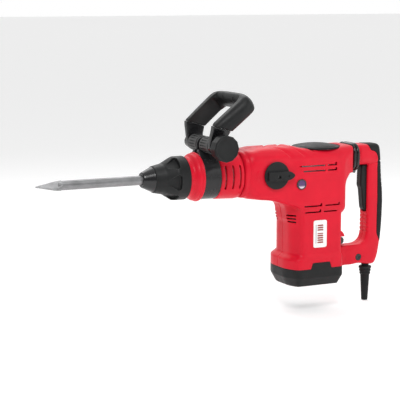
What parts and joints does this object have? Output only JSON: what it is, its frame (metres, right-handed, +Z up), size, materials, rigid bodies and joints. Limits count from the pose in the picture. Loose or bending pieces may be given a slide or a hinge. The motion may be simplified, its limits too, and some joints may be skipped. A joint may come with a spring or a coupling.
{
  "type": "demolition hammer",
  "caption": "Vertical-motor demolition hammer with a bull point, pull-back chuck sleeve, swivelling front D-handle, sprung rear handle with a long trigger, and a side selector knob.",
  "frame": {"origin": "mouth of the chuck on the tool axis", "axes": "-X along the tool axis towards the chisel's point, +X towards the rear handle, +Z up, -Y towards the side with the selector knob"},
  "size_m": [0.747, 0.1743, 0.4378],
  "materials": {
    "red_shell": "moulded, satin",
    "black_plastic": "moulded, fine grain",
    "gloss_black": "polished",
    "rubber": "matte, soft",
    "chisel_steel": "forged and ground",
    "steel": "ground",
    "alloy": "die-cast",
    "bronze": "sintered",
    "copper": "turned",
    "laminations": "varnished",
    "carbon": "carbon",
    "lens": "polished",
    "label_white": "printed film",
    "black_steel": "black finish"
  },
  "bodies": {
    "housing": {"nose_ring": "red_shell", "front_barrel": "alloy", "holder_bush": "bronze", "damping_ring": "rubber", "cylinder_tube": "steel", "barrel_cover": "red_shell", "crank_case": "alloy", "crank_bearings": "steel", "armature_bearings": "steel", "stator": "laminations", "air_baffle": "black_plastic", "brush_holders": "bronze", "carbon_brushes": "carbon", "housing_left": "red_shell", "housing_right": "red_shell", "housing_screws": "steel", "crank_lid": "black_plastic", "sight_glass": "lens", "glass_bezel": "black_plastic", "side_label": "label_white", "motor_cap": "black_plastic", "cap_screws": "steel", "boot": "rubber", "damper_spring": "steel", "pivot_screw": "black_steel"},
    "tool_holder": {"tool_holder": "steel", "dust_cap": "gloss_black", "lock_rollers": "steel"},
    "chisel": {"bull_point": "chisel_steel"},
    "locking_sleeve": {"locking_sleeve": "rubber", "lock_ring": "steel", "sleeve_spring": "steel"},
    "impact_bolt": {"impact_bolt": "steel"},
    "striker": {"striker": "steel"},
    "piston": {"piston": "alloy", "wrist_pin": "steel"},
    "connecting_rod": {"connecting_rod": "steel"},
    "crankshaft": {"crankshaft": "steel", "crank_gear": "steel"},
    "armature": {"armature_shaft": "steel", "armature_core": "laminations", "commutator": "copper", "cooling_fan": "black_plastic"},
    "selector": {"selector_knob": "black_plastic", "selector_shaft": "steel"},
    "speed_dial": {"speed_dial": "black_plastic"},
    "rear_handle": {"handle_left": "red_shell", "handle_right": "red_shell", "handle_pad": "rubber", "trigger_pin": "steel", "trigger_switch": "black_plastic", "cord_guard": "rubber"},
    "trigger": {"trigger": "black_plastic"},
    "clamp_band": {"clamp_band": "gloss_black", "pivot_bolt": "black_steel"},
    "aux_handle": {"aux_hubs": "black_plastic", "aux_brackets": "black_plastic", "aux_grip": "black_plastic"},
    "aux_knob": {"aux_knob": "black_plastic"}
  },
  "joints": [
    {"name": "tool_holder_turn", "type": "hinge", "parent": "housing", "child": "tool_holder", "pos_m": [0.1, 0, 0], "axis": [1, 0, 0], "continuous": true},
    {"name": "chisel_slide", "type": "slide", "parent": "tool_holder", "child": "chisel", "axis": [-1, 0, 0], "range_m": [0, 0.012]},
    {"name": "sleeve_slide", "type": "slide", "parent": "tool_holder", "child": "locking_sleeve", "axis": [1, 0, 0], "range_m": [0, 0.005], "stiffness_N_per_m": 4000, "springref_m": -0.002, "deforming": ["sleeve_spring"]},
    {"name": "impact_bolt_slide", "type": "slide", "parent": "housing", "child": "impact_bolt", "axis": [1, 0, 0], "range_m": [0, 0.005]},
    {"name": "striker_slide", "type": "slide", "parent": "housing", "child": "striker", "axis": [1, 0, 0], "range_m": [-0.005, 0.025]},
    {"name": "piston_slide", "type": "slide", "parent": "housing", "child": "piston", "axis": [1, 0, 0], "range_m": [0, 0.032]},
    {"name": "rod_swing", "type": "hinge", "parent": "piston", "child": "connecting_rod", "pos_m": [0.285, 0, 0], "axis": [0, 0, 1], "range_deg": [-11.5, 11.5]},
    {"name": "armature_spin", "type": "hinge", "parent": "housing", "child": "armature", "pos_m": [0.354, 0, -0.1], "axis": [0, 0, 1], "continuous": true},
    {"name": "crank_spin", "type": "hinge", "parent": "housing", "child": "crankshaft", "pos_m": [0.381, 0, -0.03], "axis": [0, 0, 1], "continuous": true},
    {"name": "selector_turn", "type": "hinge", "parent": "housing", "child": "selector", "pos_m": [0.262, -0.05, 0], "axis": [0, 1, 0], "range_deg": [-180, 0]},
    {"name": "speed_dial_turn", "type": "hinge", "parent": "housing", "child": "speed_dial", "pos_m": [0.4355, 0, -0.1488], "axis": [0, 1, 0], "range_deg": [0, 280]},
    {"name": "handle_sway", "type": "hinge", "parent": "housing", "child": "rear_handle", "pos_m": [0.4765, 0, -0.186], "axis": [0, -1, 0], "range_deg": [0, 1.5], "stiffness_Nm_per_rad": 600, "springref_deg": -1.15, "deforming": ["boot", "damper_spring"]},
    {"name": "trigger_pull", "type": "hinge", "parent": "rear_handle", "child": "trigger", "pos_m": [0.504, 0, -0.003], "axis": [0, -1, 0], "range_deg": [0, 5], "stiffness_Nm_per_rad": 3, "springref_deg": -5.73},
    {"name": "band_turn", "type": "hinge", "parent": "housing", "child": "clamp_band", "pos_m": [0.13, 0, 0], "axis": [1, 0, 0], "continuous": true},
    {"name": "aux_handle_swing", "type": "hinge", "parent": "clamp_band", "child": "aux_handle", "pos_m": [0.1335, 0, 0.062], "axis": [0, 1, 0], "range_deg": [-100, 15]},
    {"name": "aux_knob_turn", "type": "hinge", "parent": "clamp_band", "child": "aux_knob", "pos_m": [0.1335, -0.08, 0.062], "axis": [0, 1, 0], "continuous": true}
  ],
  "couplings": [
    {"joint": "crank_spin", "follows": "armature_spin", "ratio": -0.28571}
  ]
}
